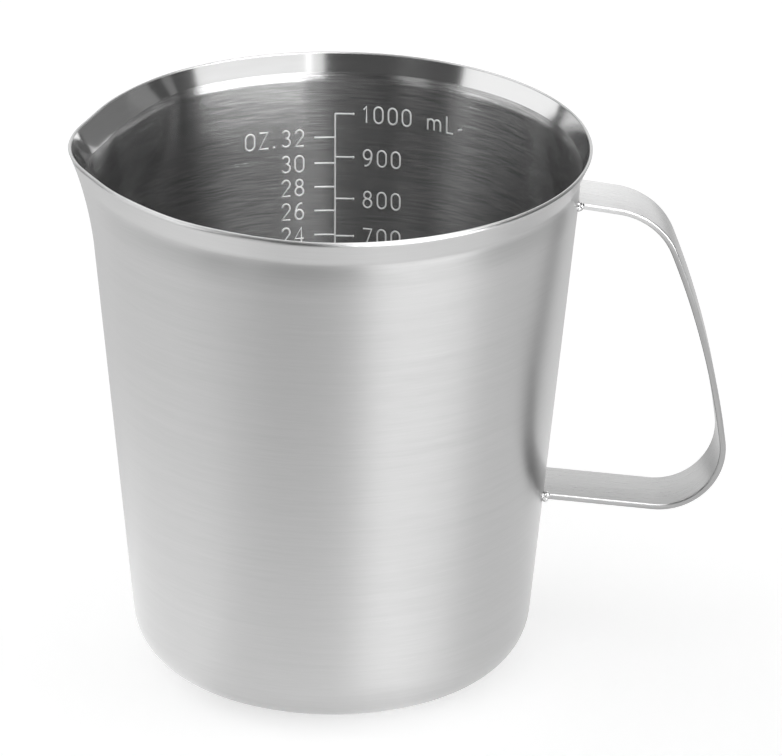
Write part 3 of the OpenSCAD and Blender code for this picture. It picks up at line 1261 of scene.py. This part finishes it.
@dataclass
class Studio:
    """A white studio: floor, room, lamps and camera."""

    floor_size: float = 6.0
    floor_drop: float = 0.00005
    floor_grey: float = 0.8
    floor_lift: float = 0.46
    # Painted glow of the floor near the jug, and painted dips in its glow, which show only in the steel.
    near_lift: float = 0.45
    near_r: tuple[float, float] = (0.26, 0.05)
    far_dips: Sequence[tuple[float, float]] = ((-16.0, 42.0), (180.0, 50.0))
    far_dip: float = 0.5
    near_dips: Sequence[tuple[float, float]] = ((80.0, 75.0), (-160.0, 45.0))
    near_dip: float = 0.75
    dip_core_share: float = 0.3
    fill: float = 0.85
    room_grey: float = 0.12
    lamps: Sequence[SoftBox] = (
        SoftBox("right_low_box", 38.2, 6, 1.5, 1.47, 0.42, 8.9),
        SoftBox("right_middle_box", 38.2, 26.2, 1.5, 1.47, 0.64, 1.05),
        SoftBox("right_high_box", 38.2, 42.0, 1.5, 1.47, 0.17, 15.0),
        SoftBox("corner_box", 7.0, 20, 1.5, 0.2, 0.6, 0.98),
        SoftBox("left_box", -93.5, 12, 1.5, 1.6, 0.78, 1.2),
        SoftBox("edge_box", -98, 45, 1.5, 1.4, 0.55, 3.0),
        SoftBox("back_box", 180, 15, 1.8, 3.2, 1.1, 1.3),
        SoftBox("top_box", 180, 62, 1.6, 2.0, 1.3, 1.6),
        SoftBox("front_box", 35, 64, 1.6, 1.0, 0.9, 4.0),
        SoftBox("far_card", 123, 15, 1.5, 0.68, 0.9, 0.13),
        SoftBox("middle_card", 104.5, 15, 1.5, 0.28, 0.9, 0.2),
        SoftBox("near_card", 85, 15, 1.5, 0.18, 0.9, 0.16),
        SoftBox("left_low_card", -41, 5, 1.5, 0.34, 0.4, 1.4),
        SoftBox("left_high_card", -41, 34, 1.5, 0.34, 0.36, 1.4),
        SoftBox("key_box", -110, 45, 1.5, 0.8, 0.8, 1.0, for_steel=False),
    )
    target: tuple[float, float, float] = (0.0, 0.0, 66.8)
    elevation: float = 23.58
    azimuth: float = -2.0
    distance: float = 2000.0
    focal_px: float = 8224.86
    photo_px: tuple[int, int] = (782, 756)
    target_px: tuple[float, float] = (332.86, 399.24)
    roll: float = 0.313
    sensor: float = 36.0
    clip: Point = (0.05, 50.0)

    def rays(self, bench: NodeBench) -> tuple[Wire, Wire]:
        """Tells the ways apart in which the background shows.

        Args:
            bench: The node tree of the floor or the room.

        Returns:
            1 for rays that show it straight, and 1 for rays that show it in the steel.
        """
        kinds = [f"Is {kind} Ray" for kind in ("Camera", "Glossy", "Transmission")]
        straight, glossy, through = bench.wires("ShaderNodeLightPath", kinds)
        return straight, bench.math("MAXIMUM", glossy, through)

    def floor(self) -> None:
        """Makes the pale floor: white to the camera, and in the steel a painted glow that is brighter near
        the jug and dimmed in some directions.
        """
        half = self.floor_size / 2
        mesh = bpy.data.meshes.new("floor")
        corners = [(x * half, y * half, -self.floor_drop) for x, y in ((-1, -1), (1, -1), (1, 1), (-1, 1))]
        mesh.from_pydata(corners, [], [(0, 1, 2, 3)])
        paint = bpy.data.materials.new("floor_white")
        bench = empty_bench(paint)
        matt = bench.wire("ShaderNodeBsdfDiffuse", {"Color": (*[self.floor_grey] * 3, 1.0)})
        straight, mirrored = self.rays(bench)
        x, y, _ = bench.parts(bench.wire("ShaderNodeTexCoord", output="Object"))

        def dipped(light: Wire, dips: Iterable[tuple[float, float]], depth: float) -> Wire:
            """Takes a share of the light away in some directions.

            Args:
                light: The light.
                dips: Azimuths and half widths of the directions, in degrees.
                depth: The share.

            Returns:
                The light that is left.
            """
            for azimuth, half in dips:
                a, wide, narrow = (math.radians(v) for v in (azimuth, half, half * self.dip_core_share))
                towards = (x * math.sin(a) - y * math.cos(a)) / radius
                light = light * (1.0 - bench.ramp(towards, math.cos(wide), math.cos(narrow)) * depth)
            return light

        # Painted light and shade for the steel only: the floor glows more near the jug and less in the dipped
        # directions.
        radius = bench.from_axis(x, y)
        far = dipped(mirrored * self.floor_lift, self.far_dips, self.far_dip)
        near = dipped(mirrored * bench.ramp(radius, *self.near_r), self.near_dips, self.near_dip)
        lift = bench.wire("ShaderNodeEmission",
                          {"Strength": straight * self.floor_lift + far + near * self.near_lift})
        both = bench.wire("ShaderNodeAddShader", {0: matt, 1: lift})
        bench.node("ShaderNodeOutputMaterial", {"Surface": both})
        mesh.materials.append(paint)
        made = new_object("floor", mesh)

    def room(self) -> None:
        """Makes the room: white behind the jug, dim where only the steel shows it, and an even fill light."""
        world = bpy.data.worlds.new("studio")
        bench = empty_bench(world)
        straight, mirrored = self.rays(bench)
        shown = straight + mirrored * self.room_grey
        strength = shown + (1.0 - straight - mirrored) * self.fill
        sky = bench.wire("ShaderNodeBackground", {"Strength": strength})
        bench.node("ShaderNodeOutputWorld", {"Surface": sky})
        bpy.context.scene.world = world

    def camera(self) -> None:
        """Makes the camera at the photograph's angle."""
        back, r = direction(self.azimuth, self.elevation), math.radians(self.roll)
        right = (-back).cross(Vector((0, 0, 1))).normalized()
        up = right.cross(-back)
        right, up = right * math.cos(r) + up * math.sin(r), up * math.cos(r) - right * math.sin(r)
        spot = Vector(self.target) + back * self.distance
        mm_per_px = self.distance / self.focal_px
        aside = (self.photo_px[0] / 2 - self.target_px[0]) * mm_per_px
        above = (self.target_px[1] - self.photo_px[1] / 2) * mm_per_px
        aim = Vector(self.target) + right * aside + up * above
        back = (spot - aim).normalized()
        right = up.cross(back).normalized()
        up = back.cross(right)
        lens = bpy.data.cameras.new("camera")
        lens.sensor_fit = "HORIZONTAL"
        lens.sensor_width = self.sensor
        lens.lens = self.sensor * self.focal_px / self.photo_px[0]
        lens.clip_start, lens.clip_end = self.clip
        made = new_object("camera", lens)
        made.matrix_world = Matrix.Translation(spot * MM) @ Matrix((right, up, back)).transposed().to_4x4()
        bpy.context.scene.camera = made

    def build(self) -> None:
        """Makes the whole studio."""
        bpy.context.scene.view_settings.view_transform = "Standard"
        self.camera()
        self.floor()
        self.room()
        for lamp in self.lamps:
            lamp.build()


def main() -> None:
    """Builds the studio and the jug's pieces, and reports each piece."""
    logging.basicConfig(level=logging.INFO, format="%(name)s: %(message)s")
    Studio().build()
    strap = Strap()
    weld_metal = WELD_STEEL.material()
    pieces = [Cup().build(), strap.build(), Scale().build()]
    corners = [(upper, side) for upper in (True, False) for side in Side]
    for seed, (upper, side) in enumerate(corners, FIRST_SEED):
        pieces.append(Weld(strap, upper, side).build(seed, weld_metal))
    for piece in pieces:
        LOG.info("%s: %d faces", piece.name, len(piece.data.polygons))


if __name__ == "__main__":
    main()
